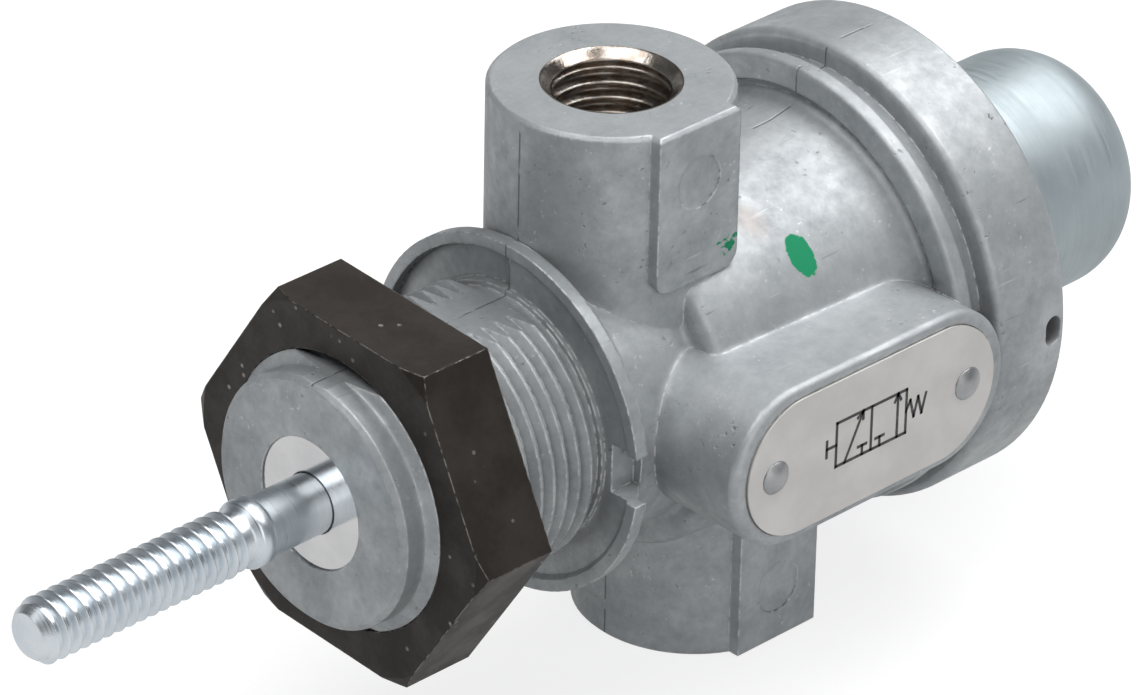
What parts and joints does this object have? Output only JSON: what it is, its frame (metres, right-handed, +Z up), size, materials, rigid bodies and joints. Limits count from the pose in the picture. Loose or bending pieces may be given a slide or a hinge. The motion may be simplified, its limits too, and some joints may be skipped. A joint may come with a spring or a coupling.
{
  "type": "air bleed valve",
  "caption": "Push-operated air bleed valve: die-cast body with a threaded panel neck and lock nut, two opposed ports, a spring-returned push rod and a domed spring cup",
  "frame": {"origin": "on the plunger axis, in the plane of the collar's front face that seats on the panel", "axes": "+X runs along the plunger axis from the push rod towards the spring cup; +Z is up, through the top port; the nameplate faces -Y"},
  "size_m": [0.1279, 0.0474, 0.0574],
  "materials": {
    "casting": "die-cast zinc, matt grey with brighter edges",
    "black_steel": "black phosphate on steel, worn at the edges",
    "zinc_plate": "bright zinc plate",
    "bright_steel": "polished steel",
    "black_rubber": "nitrile rubber",
    "bronze": "sintered bronze",
    "brass": "turned brass",
    "spring_steel": "oiled spring steel",
    "cup_plate": "drawn steel, satin zinc plate",
    "plate_metal": "bare aluminium, satin",
    "rivet_metal": "dull aluminium"
  },
  "bodies": {
    "valve_body": {"body": "casting", "guide_washer": "bright_steel", "rod_wiper": "black_rubber", "guide_bush": "bronze", "front_seal_ring": "black_rubber", "middle_seal_ring": "black_rubber", "rear_seal_ring": "black_rubber", "top_port_cage": "brass", "bottom_port_cage": "brass", "front_spacer": "brass", "middle_spacer": "brass", "end_bush": "brass", "stack_clip": "spring_steel", "return_spring": "spring_steel", "cup_gasket": "black_rubber", "spring_cup": "cup_plate", "vent_flap": "black_rubber", "cover_ring": "cup_plate", "snap_ring": "spring_steel", "nameplate": "plate_metal", "front_rivet": "rivet_metal", "rear_rivet": "rivet_metal"},
    "plunger": {"push_rod": "zinc_plate", "spool": "bright_steel", "cross_pin": "bright_steel", "spring_seat": "zinc_plate", "seat_clip": "spring_steel"},
    "nut": {"lock_nut": "black_steel"}
  },
  "joints": [
    {"name": "plunger_slide", "type": "slide", "parent": "valve_body", "child": "plunger", "axis": [1, 0, 0], "range_m": [0, 0.006], "stiffness_N_per_m": 1500, "springref_m": -0.01, "deforming": ["return_spring"]},
    {"name": "nut_slide", "type": "slide", "parent": "valve_body", "child": "nut", "axis": [1, 0, 0], "range_m": [-0.05, 0.0117]}
  ]
}
